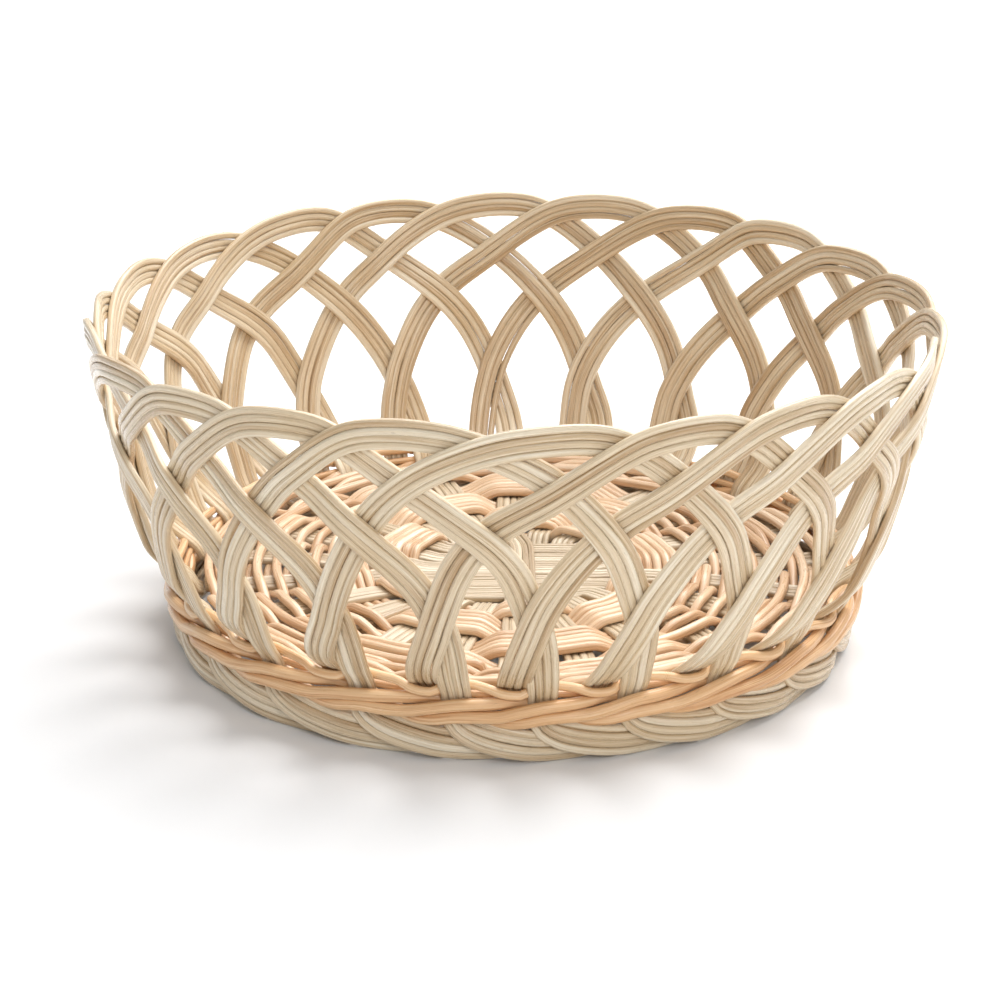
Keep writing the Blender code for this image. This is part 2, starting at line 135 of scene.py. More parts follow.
# Rods: half width, thickness as a share of the width, and the step from ring to ring
BAND_RODS = 4
BAND_ROD, BAND_FLAT, BAND_STEP = 1.03, 0.94, 2.0
SPOKE_ROD, SPOKE_FLAT, SPOKE_ROD_STEP = 1.02, 0.9, 1.8
WEAVER_ROD, ROUND_FLAT, WEAVER_STEP = 1.47, 0.97, 1.7
ROUND_STEP = 1.6
SIDES = 12
END_SIZE = 0.86              # a cut end is this much smaller than its rod
SQUARE, ROUND = 0.68, 0.94   # exponents of the sections of band rods and round rods
# Unevenness of single canes: the length over which it changes, and its size
BAND_ROLL, BAND_DRIFT, BAND_PROUD = (55.0, 0.035), (38.0, 0.1), (30.0, 0.09)
BAND_LUMPS, ROUND_DRIFT, ROUND_LUMPS = (14.0, 0.018), (24.0, 0.08), (18.0, 0.025)
CANE_SIZE, CANE_SPREAD = 1.05, 0.03  # size of the canes of a band, so that they touch
TINT_MIDDLE, TINT_SPREAD = 0.5, 0.22
TINT_LOW, TINT_HIGH = 0.15, 0.85     # range of the tints of round rods
SEAM_FADE = 12.0             # points over which a closed rod's unevenness fades to its seam


# ---------------------------------------------------------------- small maths
def smooth(t):
    """Soft step from 0 to 1."""
    t = np.clip(t, 0.0, 1.0)
    return t * t * (3.0 - 2.0 * t)


def hermite(t, h, p0, m0, p1, m1):
    """Cubic from p0 to p1 over a length h, with slopes m0 and m1."""
    return ((2 * t ** 3 - 3 * t ** 2 + 1) * p0 + (t ** 3 - 2 * t ** 2 + t) * h * m0
            + (3 * t ** 2 - 2 * t ** 3) * p1 + (t ** 3 - t ** 2) * h * m1)


def table(pairs, x):
    """Smooth value of a table of pairs at x."""
    xs = np.array([p[0] for p in pairs], float)
    ys = np.array([p[1] for p in pairs], float)
    x = min(max(x, xs[0]), xs[-1])
    i = min(int(np.searchsorted(xs, x, "right")) - 1, len(xs) - 2)
    h = xs[i + 1] - xs[i]
    slopes = []
    for k in (i, i + 1):
        a, b = max(k - 1, 0), min(k + 1, len(xs) - 1)
        slopes.append((ys[b] - ys[a]) / (xs[b] - xs[a]))
    return hermite((x - xs[i]) / h, h, ys[i], slopes[0], ys[i + 1], slopes[1])


def cyl(azimuth, radius, height):
    """Point of a cylinder position."""
    return np.array((radius * math.cos(azimuth), radius * math.sin(azimuth), height))


def unit(a):
    return a / np.linalg.norm(a, axis=-1, keepdims=True)


def lean_at(point):
    """Turn in radians that the unevenness of the hand-made basket gives a point."""
    azimuth = math.atan2(point[1], point[0])
    rise = smooth((point[2] - LEAN_FOOT) / (LEAN_RISE - LEAN_FOOT))
    top = smooth((point[2] - LEAN_FADE) / (LEAN_TOP - LEAN_FADE))
    set_in = smooth((math.hypot(point[0], point[1]) - LEAN_INNER) / (LEAN_OUTER - LEAN_INNER))
    crest = (azimuth - FIRST_CREST) / PITCH
    left = math.floor(crest)
    part = smooth(crest - left)
    high = CREST_LEAN[left % ARCHES] * (1.0 - part) + CREST_LEAN[(left + 1) % ARCHES] * part
    high = table(MID_LEAN, math.degrees(azimuth)) * (1.0 - top) + high * top
    low = table(FOOT_LEAN, math.degrees(azimuth))
    return math.radians(float(low * (1.0 - rise) + high * rise)) * float(set_in)


def turned(rows):
    """Rows of point, and of normal if there is one, turned by the unevenness."""
    out = np.array(rows, float)
    for row in out:
        lean = lean_at(row)
        c, s = math.cos(lean), math.sin(lean)
        for k in range(0, min(len(row), 6), 3):
            row[k], row[k + 1] = c * row[k] - s * row[k + 1], s * row[k] + c * row[k + 1]
    return out


def resample(values, spacing, closed=False):
    """Even steps along a smooth curve through the first three columns of values."""
    v = np.asarray(values, float)
    if closed:
        v = np.vstack([v[-3:], v, v[:4]])
    gap = np.linalg.norm(np.diff(v[:, :3], axis=0), axis=1)
    keep = np.concatenate([[True], gap > 1e-6])
    v = v[keep]
    t = np.concatenate([[0.0], np.cumsum(np.linalg.norm(np.diff(v[:, :3], axis=0), axis=1))])
    d = np.diff(v, axis=0) / np.diff(t)[:, None]
    m = np.empty_like(v)
    m[0], m[-1] = d[0], d[-1]
    w = np.diff(t)
    m[1:-1] = (d[:-1] * w[1:, None] + d[1:] * w[:-1, None]) / (w[:-1] + w[1:])[:, None]
    start, stop = (t[3], t[-4]) if closed else (t[0], t[-1])
    n = max(int(round((stop - start) / spacing)), 4)
    x = np.linspace(start, stop, n + 1)
    if closed:
        x = x[:-1]
    i = np.clip(np.searchsorted(t, x, "right") - 1, 0, len(t) - 2)
    h = (t[i + 1] - t[i])[:, None]
    s = ((x - t[i]) / (t[i + 1] - t[i]))[:, None]
    return hermite(s, h, v[i], m[i], v[i + 1], m[i + 1])


def wander(rng, n, step, length, size):
    """Slow random drift along a rod: n values that change over about length."""
    count = max(int(n * step / length) + 4, 5)
    knots = rng.normal(0.0, size, count)
    x = np.linspace(0.0, count - 1.001, n)
    i = x.astype(int)
    f = smooth(x - i)
    return knots[i] * (1 - f) + knots[i + 1] * f


# ---------------------------------------------------------------- rods to meshes
class Bundle:
    """Collects rods and turns them into one mesh with grain coordinates."""

    def __init__(self):
        self.verts, self.quads, self.caps = [], [], []
        self.grain, self.tint, self.uv = [], [], []
        self.count = 0

    def rod(self, points, normals, half_width, half_thick, tint, lumps, shape, closed=False):
        """Adds one rod; lumps swell it, and a shape below 1 squares its section."""
        p = np.asarray(points, float)
        n = len(p)
        if closed:
            t = np.roll(p, -1, axis=0) - np.roll(p, 1, axis=0)
        else:
            t = np.gradient(p, axis=0)
        t = unit(t)
        side = unit(np.cross(t, normals))
        up = np.cross(side, t)
        wide = np.broadcast_to(half_width, (n,)) * (1.0 + lumps)
        thick = np.broadcast_to(half_thick, (n,)) * (1.0 + lumps)
        if not closed:
            ends = np.ones(n)
            ends[[0, -1]] = END_SIZE
            wide, thick = wide * ends, thick * ends
        a = TAU * (np.arange(SIDES) + 0.5) / SIDES
        ca = np.sign(np.cos(a)) * np.abs(np.cos(a)) ** shape
        sa = np.sign(np.sin(a)) * np.abs(np.sin(a)) ** shape
        ring = (p[:, None, :] + side[:, None, :] * (wide[:, None] * ca)[:, :, None]
                + up[:, None, :] * (thick[:, None] * sa)[:, :, None])
        step = np.linalg.norm(np.diff(p, axis=0), axis=1)
        along = np.concatenate([[0.0], np.cumsum(step)]) * MM
        grain = np.empty((n, SIDES, 3))
        grain[:, :, 0] = along[:, None]
        grain[:, :, 1] = np.cos(a)[None, :]
        grain[:, :, 2] = np.sin(a)[None, :]
        base = self.count
        self.verts.append(ring.reshape(-1, 3))
        self.grain.append(grain.reshape(-1, 3))
        self.tint.append(np.full(n * SIDES, tint))
        i = np.arange(n if closed else n - 1)
        k = np.arange(SIDES)
        i2 = (i + 1) % n
        k2 = (k + 1) % SIDES
        q = np.stack([
            (i[:, None] * SIDES + k[None, :]), (i[:, None] * SIDES + k2[None, :]),
            (i2[:, None] * SIDES + k2[None, :]), (i2[:, None] * SIDES + k[None, :])], axis=-1)
        self.quads.append(q.reshape(-1, 4) + base)
        u0 = along[i]
        u1 = u0 + (np.append(step, step[-1])[i] * MM)
        v0 = k / SIDES
        v1 = (k + 1) / SIDES
        corner = np.empty((len(i), SIDES, 4, 2))
        corner[:, :, 0, 0] = corner[:, :, 1, 0] = u0[:, None]
        corner[:, :, 2, 0] = corner[:, :, 3, 0] = u1[:, None]
        corner[:, :, 0, 1] = corner[:, :, 3, 1] = v0[None, :]
        corner[:, :, 1, 1] = corner[:, :, 2, 1] = v1[None, :]
        self.uv.append(corner.reshape(-1, 2))
        if not closed:
            self.caps.append([base + k for k in reversed(range(SIDES))])
            self.caps.append([base + (n - 1) * SIDES + k for k in range(SIDES)])
        self.count += n * SIDES

    def build(self, name, material, nodes):
        """Makes the object that stands for the CAD nodes."""
        verts = np.concatenate(self.verts) * MM
        quads = np.concatenate(self.quads)
        loops = np.concatenate([quads.reshape(-1)] + [np.array(c) for c in self.caps])
        sizes = np.array([4] * len(quads) + [len(c) for c in self.caps])
        starts = np.concatenate([[0], np.cumsum(sizes)[:-1]])
        mesh = bpy.data.meshes.new(name)
        mesh.vertices.add(len(verts))
        mesh.vertices.foreach_set("co", verts.astype(np.float32).ravel())
        mesh.loops.add(len(loops))
        mesh.loops.foreach_set("vertex_index", loops.astype(np.int32))
        mesh.polygons.add(len(sizes))
        mesh.polygons.foreach_set("loop_start", starts.astype(np.int32))
        mesh.polygons.foreach_set("loop_total", sizes.astype(np.int32))
        mesh.update(calc_edges=True)
        cap_uv = np.zeros((sum(len(c) for c in self.caps), 2))
        uv = np.concatenate([np.concatenate(self.uv), cap_uv])
        layer = mesh.uv_layers.new(name="UVMap")
        layer.data.foreach_set("uv", uv.astype(np.float32).ravel())
        grain = mesh.attributes.new("grain", "FLOAT_VECTOR", "POINT")
        grain.data.foreach_set("vector", np.concatenate(self.grain).astype(np.float32).ravel())
        tint = mesh.attributes.new("tint", "FLOAT", "POINT")
        tint.data.foreach_set("value", np.concatenate(self.tint).astype(np.float32))
        soft = np.array([True] * len(quads) + [False] * len(self.caps))
        mesh.polygons.foreach_set("use_smooth", soft)
        mesh.materials.append(material)
        mesh.validate()
        obj = bpy.data.objects.new(name, mesh)
        bpy.context.scene.collection.objects.link(obj)
        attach(obj, "root")
        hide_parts(*nodes)


# ---------------------------------------------------------------- materials
RAMP_DARK, RAMP_MIDDLE, RAMP_PALE = 0.36, 0.5, 0.66
ROD_SEED = 57.0              # how far apart in the noise two rods of different tint lie
TINT_LIFT, TINT_BASE = 0.18, -0.115  # how a rod's tint makes it paler
STAIN_SHARE, FLECK_SHARE, FLECK_DARK = 0.45, 0.35, 0.45
FIBRE_HEIGHT = 0.0003        # metres


def cane(name, dark, mid, pale, stain, rough, coat, fibre):
    """Peeled willow: long fibres, a tone of its own for each rod, stains and silky gloss."""
    material = bpy.data.materials.new(name)
    material.use_nodes = True
    tree = material.node_tree
    nodes, links = tree.nodes, tree.links
    shader = nodes["Principled BSDF"]
    shader.inputs["IOR"].default_value = 1.5
    shader.inputs["Coat Weight"].default_value = coat
    shader.inputs["Coat Roughness"].default_value = 0.2

    def attribute(key):
        node = nodes.new("ShaderNodeAttribute")
        node.attribute_name = key
        return node

    def math_node(kind, a, b, c=None):
        node = nodes.new("ShaderNodeMath")
        node.operation = kind
        for socket, value in zip(node.inputs, (a, b, c)):
            if value is None:
                continue
            if isinstance(value, (int, float)):
                socket.default_value = value
            else:
                links.new(value, socket)
        return node.outputs[0]

    grain = attribute("grain").outputs["Vector"]
    tint = attribute("tint").outputs["Fac"]

    def streak(along, around, detail, offset):
        """Noise stretched along the fibres, different for each rod."""
        mapping = nodes.new("ShaderNodeMapping")
        mapping.inputs["Scale"].default_value = (along, around, around)
        links.new(grain, mapping.inputs["Vector"])
        noise = nodes.new("ShaderNodeTexNoise")
        noise.noise_dimensions = "4D"
        noise.inputs["Scale"].default_value = 1.0
        noise.inputs["Detail"].default_value = detail
        noise.inputs["Roughness"].default_value = 0.6
        links.new(mapping.outputs[0], noise.inputs["Vector"])
        links.new(math_node("MULTIPLY_ADD", tint, ROD_SEED, offset), noise.inputs["W"])
        return noise.outputs["Fac"]

    def mix(factor, a, b):
        node = nodes.new("ShaderNodeMix")
        node.data_type = "RGBA"
        for key, value in (("Factor", factor), ("A", a), ("B", b)):
            socket = [s for s in node.inputs if s.name == key and s.enabled][0]
            if isinstance(value, tuple):
                socket.default_value = value
            else:
                links.new(value, socket)
        return [s for s in node.outputs if s.enabled][0]

    def ranged(value, low, high, to_low, to_high):
        node = nodes.new("ShaderNodeMapRange")
        node.inputs["From Min"].default_value = low
        node.inputs["From Max"].default_value = high
        node.inputs["To Min"].default_value = to_low
        node.inputs["To Max"].default_value = to_high
        links.new(value, node.inputs["Value"])
        return node.outputs[0]

    broad = streak(14.0, 0.8, 2.0, 0.0)
    fine = streak(22.0, 2.6, 3.0, 5.0)
    hair = streak(70.0, 10.0, 3.0, 9.0)
    fleck = streak(420.0, 3.0, 2.0, 3.0)
    sheen = streak(110.0, 1.6, 3.0, 13.0)

    ramp = nodes.new("ShaderNodeValToRGB")
    ramp.color_ramp.elements[0].position = RAMP_DARK
    ramp.color_ramp.elements[0].color = dark
    ramp.color_ramp.elements[1].position = RAMP_PALE
    ramp.color_ramp.elements[1].color = pale
    middle = ramp.color_ramp.elements.new(RAMP_MIDDLE)
    middle.color = mid
    blend = math_node("MULTIPLY_ADD", fine, 0.5, math_node("MULTIPLY", broad, 0.25))
    blend = math_node("MULTIPLY_ADD", hair, 0.3, blend)
    lift = math_node("MULTIPLY_ADD", tint, TINT_LIFT, TINT_BASE)
    links.new(math_node("ADD", blend, lift), ramp.inputs["Fac"])

    coordinates = nodes.new("ShaderNodeTexCoord")
    patch = nodes.new("ShaderNodeTexNoise")
    patch.inputs["Scale"].default_value = 24.0
    patch.inputs["Detail"].default_value = 3.0
    links.new(coordinates.outputs["Object"], patch.inputs["Vector"])
    stained = ranged(patch.outputs["Fac"], 0.48, 0.72, 0.0, STAIN_SHARE)
    colour = mix(stained, ramp.outputs["Color"], stain)
    deep = tuple(c * FLECK_DARK for c in dark[:3]) + (1.0,)
    colour = mix(ranged(fleck, 0.66, 0.78, 0.0, FLECK_SHARE), colour, deep)
    links.new(colour, shader.inputs["Base Color"])
    gloss = ranged(sheen, 0.3, 0.7, rough - 0.2, rough + 0.16)
    links.new(gloss, shader.inputs["Roughness"])

    bump = nodes.new("ShaderNodeBump")
    bump.inputs["Strength"].default_value = fibre
    bump.inputs["Distance"].default_value = FIBRE_HEIGHT
    height = math_node("MULTIPLY_ADD", hair, 1.0, math_node("MULTIPLY", fine, 0.9))
    links.new(height, bump.inputs["Height"])
    links.new(bump.outputs["Normal"], shader.inputs["Normal"])
    return material


def rgb(r, g, b):
    """Linear colour of an sRGB triple from 0 to 255."""
    out = []
    for c in (r, g, b):
        c = c / 255.0
        out.append(c / 12.92 if c <= 0.04045 else ((c + 0.055) / 1.055) ** 2.4)
    return tuple(out) + (1.0,)


STRAW = cane("straw_cane", rgb(182, 148, 106), rgb(220, 198, 164), rgb(243, 231, 208),
             rgb(206, 178, 134), 0.34, 0.5, 0.7)
PEACH = cane("peach_cane", rgb(194, 136, 84), rgb(230, 188, 140), rgb(245, 220, 184),
             rgb(220, 168, 114), 0.4, 0.3, 0.45)
WEAVE = cane("weave_cane", rgb(186, 142, 102), rgb(226, 192, 156), rgb(247, 228, 202),
             rgb(214, 174, 130), 0.36, 0.42, 0.5)
SPOKE = cane("spoke_cane", rgb(158, 132, 102), rgb(200, 180, 150), rgb(230, 217, 194),
             rgb(180, 156, 120), 0.4, 0.3, 0.5)


# ---------------------------------------------------------------- arches
def crest_height(azimuth):
    """Height of the rim, which is a little wavy."""
    return CREST_Z - CREST_WAVE * math.cos(2.0 * azimuth)


def arch_offset(s):
    """Outer (+) or inner (-) side of the wall at s pitches from the crest."""
    d = abs(s)
    if d < FLANK_TURN:
        value = math.sin(0.5 * math.pi * min(d / CREST_TURN, 1.0))
    elif d < LOW_TURN:
        value = math.cos(math.pi * min((d - FLANK_TURN) / TURN_LENGTH, 1.0))
    else:
        value = -math.cos(math.pi * min((d - LOW_TURN) / TURN_LENGTH, 1.0))
    return (-value if s > 0 else value) * WEAVE_SHIFT


def leg_shift(z):
    """Pitches from the crest to a leg at height z."""
    if z <= FOOT_Z:
        return HALF_SPAN
    low = (z - FOOT_Z) / (CREST_Z - FOOT_Z)
    return HALF_SPAN * math.sqrt(1.0 - low ** (1.0 / ARCH_POWER))


def lean_normal(azimuth, z, pairs):
    """Outward normal of the wall whose radius at each height is in pairs."""
    slope = (table(pairs, z + 1.0) - table(pairs, z - 1.0)) / 2.0
    return np.array((math.cos(azimuth), math.sin(azimuth), -slope))


def arch_line(crest, rise):
    """Rows of point, normal, width scale and crown along one band, from base to foot."""
    rows = []

    def put(azimuth, r, z, normal, wide=1.0, crown=CROWN):
        rows.append(np.concatenate([cyl(azimuth, r, z), unit(np.asarray(normal, float)),
                                    [wide, crown]]))

    start = crest - HALF_SPAN * PITCH
    for r, z, out in BAND_START:
        put(start, r, z, (math.cos(start) * out, math.sin(start) * out, out - 1.0))
    for z in FIRST_HEIGHTS:
        azimuth = crest - leg_shift(z) * PITCH
        wide = 1.0 + LEG_WIDER * smooth((z - BELT_Z) / 4.0)
        put(azimuth, table(FIRST_LEG, z), z, lean_normal(azimuth, z, FIRST_LEG), wide)
    stations = np.concatenate([np.arange(-ARCH_END, -1.0, FLANK_STEP),
                               np.arange(-1.0, 1.0, CREST_STEP),
                               np.arange(1.0, ARCH_END + 0.01, FLANK_STEP)])
    top = crest_height(crest) + rise
    for s in stations:
        azimuth = crest + s * PITCH
        u = abs(s) / HALF_SPAN
        flank = min(max(abs(s), DIP_FROM), DIP_TO)
        dip = ARCH_DIP * math.sin(math.pi * (flank - DIP_FROM) / (DIP_TO - DIP_FROM)) ** 2
        z = FOOT_Z + (top - FOOT_Z) * (1.0 - u * u) ** ARCH_POWER - dip
        wide = 1.0 + FLANK_WIDER * smooth((abs(s) - 0.9) / 0.8)
        put(azimuth, table(WALL, z) + arch_offset(s), z,
            lean_normal(azimuth, min(z, 100.0), WALL), wide)
    for z in SECOND_HEIGHTS:
        azimuth = crest + leg_shift(z) * PITCH
        wide = END_WIDTH + LEG_WIDER * smooth((z - BELT_Z) / 14.0)
        put(azimuth, table(SECOND_LEG, z), z, lean_normal(azimuth, z, SECOND_LEG), wide)
    foot = crest + HALF_SPAN * PITCH
    for t, r, z in STROKE:
        full = float(smooth((t - 0.05) / 0.3) * (1.0 - smooth((t - 1.15) / 0.5)))
        azimuth = foot + t * PITCH
        tilt = 0.06 * (z - 5.5)
        put(azimuth, r, z, (math.cos(azimuth), math.sin(azimuth), tilt),
            STROKE_WIDTH + STROKE_WIDER * full, CROWN + STROKE_CROWN * full)
    return turned(rows)


def band_rods(bundle, line, rng, half, flat, spacing, floor=None):
    """Rods side by side along rows of point, normal, width scale and crown."""
    path = resample(line, spacing)
    p = path[:, :3]
    n = unit(path[:, 3:6])
    wide, crown = path[:, 6], path[:, 7]
    count = len(p)
    t = unit(np.gradient(p, axis=0))
    side = unit(np.cross(t, n))
    n = np.cross(side, t)
    roll = wander(rng, count, spacing, *BAND_ROLL)
    side, n = (side * np.cos(roll)[:, None] + n * np.sin(roll)[:, None],
               n * np.cos(roll)[:, None] - side * np.sin(roll)[:, None])
    for k in range(BAND_RODS):
        place = (k - (BAND_RODS - 1) / 2.0) * 2.0 * half
        across = place * wide + wander(rng, count, spacing, *BAND_DRIFT)
        proud = wander(rng, count, spacing, *BAND_PROUD) - crown * across ** 2
        q = p + side * across[:, None] + n * proud[:, None]
        size = half * (CANE_SIZE + rng.normal(0.0, CANE_SPREAD))
        lumps = wander(rng, count, spacing, *BAND_LUMPS)
        if floor is not None:
            q[:, 2] = np.maximum(q[:, 2], floor + size * flat)
        tint = float(np.clip(TINT_MIDDLE + rng.normal(0.0, TINT_SPREAD), 0.0, 1.0))
        bundle.rod(q, n, size * wide, size * flat, tint, lumps, SQUARE)


for k in range(ARCHES):
    rng = np.random.default_rng(100 + k)
    line = arch_line(FIRST_CREST + k * PITCH, float(rng.normal(0.0, CREST_ROUGH)))
    bundle = Bundle()
    band_rods(bundle, line, rng, BAND_ROD, BAND_FLAT, BAND_STEP, floor=0.0)
    bundle.build(f"willow_arch_{k + 1:02d}", STRAW, [f"arch_{k + 1:02d}"])


# ---------------------------------------------------------------- belt
def stake(k):
    """Azimuth of the k-th band end above the foot."""
    return FIRST_CREST + (k + HALF_SPAN) * PITCH


def outward(points):
    """Level unit vectors away from the axis."""
    n = np.array(points)
    n[:, 2] = 0.0
    return unit(n)


def upward(points):
    """Unit vectors along the axis."""
    return np.tile((0.0, 0.0, 1.0), (len(points), 1))


def round_rod(bundle, points, normals, radius, rng, closed=False, spacing=ROUND_STEP):
    """One round rod with a little drift and swelling of its own."""
    path = resample(points, spacing, closed)
    count = len(path)
    drift = np.stack([wander(rng, count, spacing, *ROUND_DRIFT) for _ in range(3)], axis=1)
    lumps = wander(rng, count, spacing, *ROUND_LUMPS)
    if closed:
        fade = smooth(np.minimum(np.arange(count), np.arange(count)[::-1]) / SEAM_FADE)
        drift, lumps = drift * fade[:, None], lumps * fade
    tint = float(rng.uniform(TINT_LOW, TINT_HIGH))
    bundle.rod(path + drift, normals(path), radius, radius * ROUND_FLAT, tint, lumps, ROUND,
               closed)


for index, run in enumerate(WALE_RUNS):
    rng = np.random.default_rng(300 + index)
    line = []
    for q in range(4 * run[0], 4 * run[1] + 1):
        r, z = WALE_STEPS[(q + 4 * (2 - run[0])) % len(WALE_STEPS)]
        place = min(max(q / 4.0, run[0] + WALE_INSET), run[1] - WALE_INSET)
        high = WALE_MIDDLE + WALE_SWING * (z - WALE_MIDDLE)
        high += WALE_RIPPLE * math.cos(TAU * place)
        line.append(cyl(stake(place), r + WALE_OUT, high + rng.normal(0.0, WALE_ROUGH)))
    bundle = Bundle()
    round_rod(bundle, turned(line), outward, WALE_ROD, rng)
    bundle.build(f"willow_wale_{index + 1}", PEACH, [f"wale_strand_{index + 1}"])

rng = np.random.default_rng(340)
bundle = Bundle()
line = []
for k in range(ARCHES):
    for step, r, z in ROW_STEPS:
        line.append(cyl(stake(k + step), r, z + rng.normal(0.0, ROW_ROUGH)))
round_rod(bundle, turned(line), outward, ROW_ROD, rng, closed=True)
packing = [cyl(TAU * k / PACKING_POINTS, PACKING_RADIUS, PACKING_Z)
           for k in range(PACKING_POINTS)]
round_rod(bundle, turned(packing), outward, PACKING_ROD, rng, closed=True)
bundle.build("willow_upper_row", PEACH, ["upper_row"])


# ---------------------------------------------------------------- base
def spoke_azimuth(e):
    """Azimuth of the e-th spoke end."""
    return SPOKE_TURN + (e + 0.5) * PITCH


def rim_rise(radius):
    """How far the base climbs toward the wall at a radius."""
    return RIM_RISE * float(smooth((radius - RIM_FROM) / RIM_WIDTH))


def weave_radius(rod, theta):
    """Radius of a weaver after a turn of theta."""
    return WEAVE_START + WEAVE_PITCH * (rod + WEAVERS * theta / TAU)


def row_lift(e, theta, radius, rod):
    """Height of a weaver at spoke e: over (+) or under (-) it."""
    azimuth = spoke_azimuth(e)
    turn = math.floor(theta / TAU + 1e-6)
    if radius > COVER_RADIUS:
        return -BRICK_LIFT if (e + rod + turn) % 3 == 0 else BRICK_LIFT
    if radius > BRICK_RADIUS and abs(math.cos(azimuth)) > BRICK_SIDE:
        return BRICK_LIFT if (e + rod + turn) % 2 == 0 else -BRICK_LIFT
    pair = round((SPOKE_TURN + PITCH - WEAVE_FROM + theta) / (2.0 * PITCH) - 1e-9)
    return WEAVE_LIFT if pair % 2 == 0 else -WEAVE_LIFT


def weave_point(rod, theta):
    """Place of a weaver after a turn of theta."""
    radius = weave_radius(rod, theta)
    azimuth = WEAVE_FROM - theta
    place = (azimuth - SPOKE_TURN) / PITCH - 0.5
    e = math.floor(place)
    ahead = place - e
    here = row_lift(e, theta + ahead * PITCH, radius, rod)
    there = row_lift(e + 1, theta - (1.0 - ahead) * PITCH, radius, rod)
    z = here + (there - here) * float(smooth((ahead - 0.5) / CHANGE_WIDTH + 0.5))
    if here * there > 0:
        z *= 1.0 - WEAVE_SAG * math.sin(math.pi * ahead)
    return cyl(azimuth, radius, BASE_Z + WEAVE_RISE + z + rim_rise(radius))


def spoke_height(azimuth, radius, inner):
    """Spoke height: layered at the cross, then pushed aside by the blocks of weavers."""
    theta0 = (WEAVE_FROM - azimuth) % TAU
    e = round((azimuth - SPOKE_TURN) / PITCH - 0.5)
    shift = 0.0
    steps = (-2.0, -1.0, 0.0, 1.0, 2.0)
    for step in steps:
        row = (radius + step - WEAVE_START) / WEAVE_PITCH + 0.5 - WEAVERS * theta0 / TAU
        theta = theta0 + TAU * math.floor(row / WEAVERS)
        lift = row_lift(e, theta, radius + step, 0)
        if abs(lift) < BRICK_LIFT:
            shift -= math.copysign(SPOKE_SHIFT, lift) / len(steps)
    blend = float(smooth((radius - CROSS_FROM) / CROSS_FADE))
    return (1.0 - blend) * inner + blend * (BASE_Z + shift + 0.5 * rim_rise(radius))


def spoke_line(across, index):
    """Rows of point, normal, width scale and crown along one spoke."""
    count = SPOKES - FIRST_WAY if across else FIRST_WAY
    lane = (index - (count - 1) / 2.0) * CROSS_STEP
    inner = BASE_Z - CROSS_DROP
    if across:
        inner += LAYER if index == 2 else -LAYER
        ends = (spoke_azimuth(7 - index), spoke_azimuth(14 + index))
    else:
        ends = (spoke_azimuth(index - 3), spoke_azimuth(13 - index))
    side = CROSS_SIDE if across and index == 2 else 0.0
    turn = np.array(((math.cos(SPOKE_TURN), -math.sin(SPOKE_TURN)),
                     (math.sin(SPOKE_TURN), math.cos(SPOKE_TURN))))
    halves = []
    for sign, azimuth in ((1.0, ends[0]), (-1.0, ends[1])):
        if across:
            a, d0 = np.array((lane + side, CROSS_HALF * sign)), np.array((0.0, sign))
        else:
            a, d0 = np.array((CROSS_HALF * sign, lane)), np.array((sign, 0.0))
        a, d0 = turn @ a, turn @ d0
        d1 = np.array((math.cos(azimuth), math.sin(azimuth)))
        b = CROSS_OUT * d1
        reach = np.linalg.norm(b - a)
        half = [np.append(a - d0 * CROSS_OVERLAP, inner)]
        for t in np.arange(0.0, 0.99, 0.2):
            p = hermite(t, reach, a, d0, b, d1)
            half.append(np.append(p, spoke_height(azimuth, float(np.linalg.norm(p)), inner)))
        for r in np.arange(CROSS_OUT, SPOKE_END + 0.01, SPOKE_STEP):
            half.append(cyl(azimuth, r, spoke_height(azimuth, r, inner)))
        halves.append(half)
    rows = []
    for p in list(reversed(halves[1])) + halves[0]:
        out = float(smooth((math.hypot(p[0], p[1]) - SPREAD_FROM) / SPREAD_WIDTH))
        wide = SPOKE_NARROW + SPOKE_SPREAD * out
        rows.append(np.concatenate([p, (0.0, 0.0, 1.0), (wide, 0.0)]))
    return turned(rows)


for k in range(SPOKES):
    rng = np.random.default_rng(400 + k)
    line = spoke_line(k >= FIRST_WAY, k % FIRST_WAY)
    bundle = Bundle()
    band_rods(bundle, line, rng, SPOKE_ROD, SPOKE_FLAT, SPOKE_ROD_STEP)
    bundle.build(f"willow_spoke_{k + 1:02d}", SPOKE, [f"spoke_{k + 1:02d}"])


def weave_mark(turns):
    """Turn angle near so many turns where the weavers are under a pair of spokes."""
    offset = (SPOKE_TURN + PITCH - WEAVE_FROM) / (2.0 * PITCH)
    pair = round((turns * TAU / (2.0 * PITCH) + offset - 1.0) / 2.0) * 2 + 1
    return (pair - offset) * 2.0 * PITCH


def weave_rod(bundle, rod, low, high, rng):
    """Adds the stretch of one weaver between two turn angles."""
    first = -rod / WEAVERS * TAU
    last = ((WEAVE_END - WEAVE_START) / WEAVE_PITCH - rod) / WEAVERS * TAU
    low, high = max(low, first), min(high, last)
    points = [weave_point(rod, theta) for theta in np.arange(low, high, WEAVE_STEP)]
    round_rod(bundle, turned(points), upward, WEAVER_ROD, rng, spacing=WEAVER_STEP)


MARKS = [-TAU] + [weave_mark(turns) for turns in ROUND_MARKS]
for turn in range(len(ROUND_MARKS)):
    rng = np.random.default_rng(450 + turn)
    bundle = Bundle()
    for rod in range(WEAVERS):
        weave_rod(bundle, rod, MARKS[turn], MARKS[turn + 1] + ROUND_OVERLAP, rng)
    bundle.build(f"willow_round_{turn + 1}", WEAVE, [f"woven_round_{turn + 1}"])

for index, rods in enumerate(((0,), (1,), (2,), (3, 4))):
    rng = np.random.default_rng(480 + index)
    bundle = Bundle()
    for rod in rods:
        weave_rod(bundle, rod, MARKS[3], 5.0 * TAU, rng)
    bundle.build(f"willow_outer_row_{index + 1}", WEAVE, [f"outer_row_{index + 1}"])


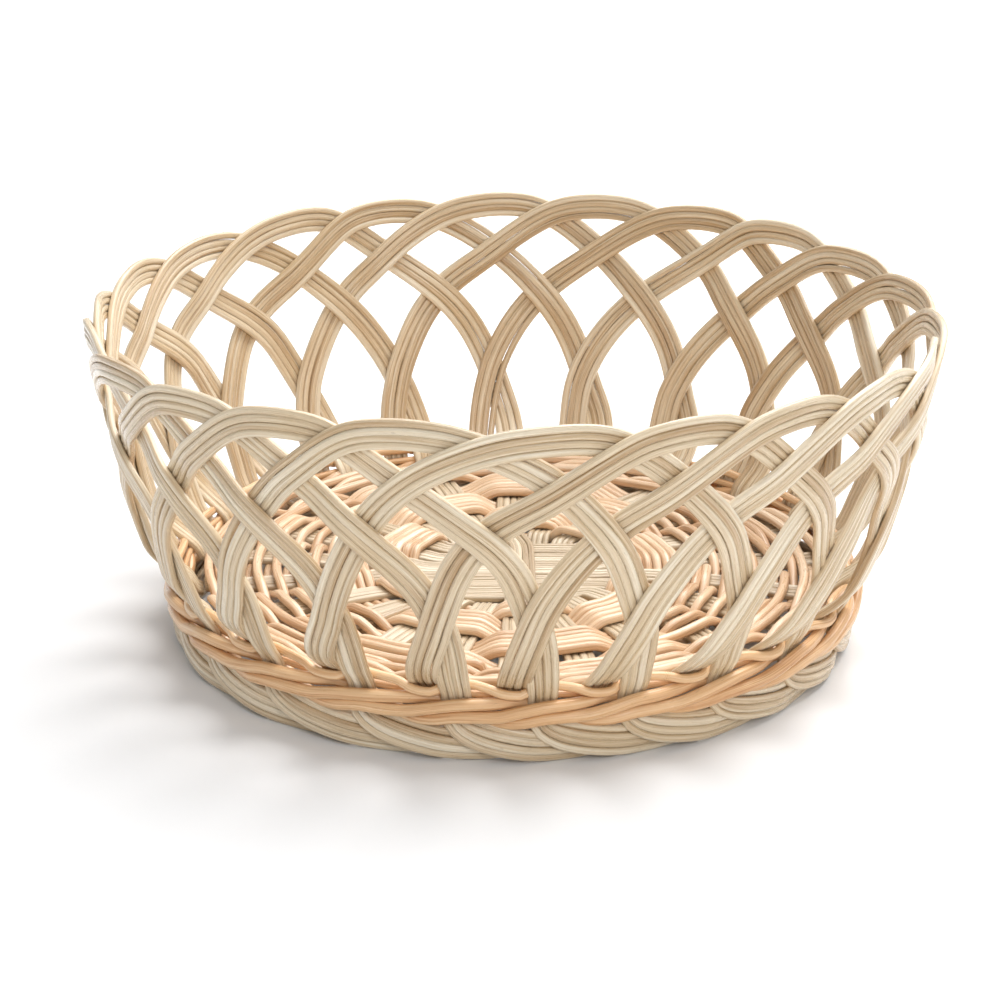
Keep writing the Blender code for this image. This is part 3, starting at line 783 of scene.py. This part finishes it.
# ---------------------------------------------------------------- floor, light, camera
FLOOR = 6.0                  # metres from the middle to an edge
SENSOR = 36.0
FOCUS = 2.648                # focal length in widths of the sensor
CAMERA_PLACE = (0.0, -0.75815, 0.31593)
CAMERA_AIM = (-0.00512, 0.93948, -0.34257)
CAMERA_ROLL = math.radians(0.264)

floor_mesh = bpy.data.meshes.new("floor")
corners = [(-FLOOR, -FLOOR, 0), (FLOOR, -FLOOR, 0), (FLOOR, FLOOR, 0), (-FLOOR, FLOOR, 0)]
floor_mesh.from_pydata(corners, [], [(0, 1, 2, 3)])
floor = bpy.data.objects.new("floor", floor_mesh)
bpy.context.scene.collection.objects.link(floor)
paper = bpy.data.materials.new("paper")
paper.use_nodes = True
paper_shader = paper.node_tree.nodes["Principled BSDF"]
paper_shader.inputs["Base Color"].default_value = (0.86, 0.86, 0.865, 1)
paper_shader.inputs["Roughness"].default_value = 0.9
paper_shader.inputs["Specular IOR Level"].default_value = 0.1
floor.data.materials.append(paper)

world = bpy.data.worlds.new("studio")
bpy.context.scene.world = world
world.use_nodes = True
background = world.node_tree.nodes["Background"]
background.inputs["Color"].default_value = (0.94, 0.97, 1.0, 1)
background.inputs["Strength"].default_value = 0.5


def lamp(name, place, target, size, power, colour):
    """Adds a round area light that looks at its target."""
    data = bpy.data.lights.new(name, "AREA")
    data.shape = "DISK"
    data.size = size
    data.energy = power
    data.color = colour
    obj = bpy.data.objects.new(name, data)
    obj.location = place
    aim = (Vector(target) - Vector(place)).to_track_quat("-Z", "Y")
    obj.rotation_euler = aim.to_euler()
    bpy.context.scene.collection.objects.link(obj)


lamp("key", (0.38, 0.48, 1.12), (0.0, 0.0, 0.03), 1.3, 24.5, (1.0, 0.99, 0.98))
lamp("front", (0.35, -1.25, 0.8), (0.0, 0.0, 0.04), 0.45, 5.5, (1.0, 0.99, 0.98))
lamp("far", (0.0, 1.9, 1.3), (0.0, 1.9, 0.0), 1.6, 16.0, (1.0, 1.0, 1.0))

camera_data = bpy.data.cameras.new("camera")
camera_data.sensor_width = SENSOR
camera_data.lens = SENSOR * FOCUS
camera_data.clip_start = 0.05
camera_data.clip_end = 50.0
camera = bpy.data.objects.new("camera", camera_data)
forward = Vector(CAMERA_AIM).normalized()
right = forward.cross(Vector((0.0, 0.0, 1.0))).normalized()
above = right.cross(forward)
c, s = math.cos(CAMERA_ROLL), math.sin(CAMERA_ROLL)
right, above = right * c + above * s, above * c - right * s
place = Matrix((right, above, -forward)).transposed().to_4x4()
place.translation = Vector(CAMERA_PLACE)
camera.matrix_world = place
bpy.context.scene.collection.objects.link(camera)
bpy.context.scene.camera = camera
bpy.context.scene.view_settings.view_transform = "Standard"
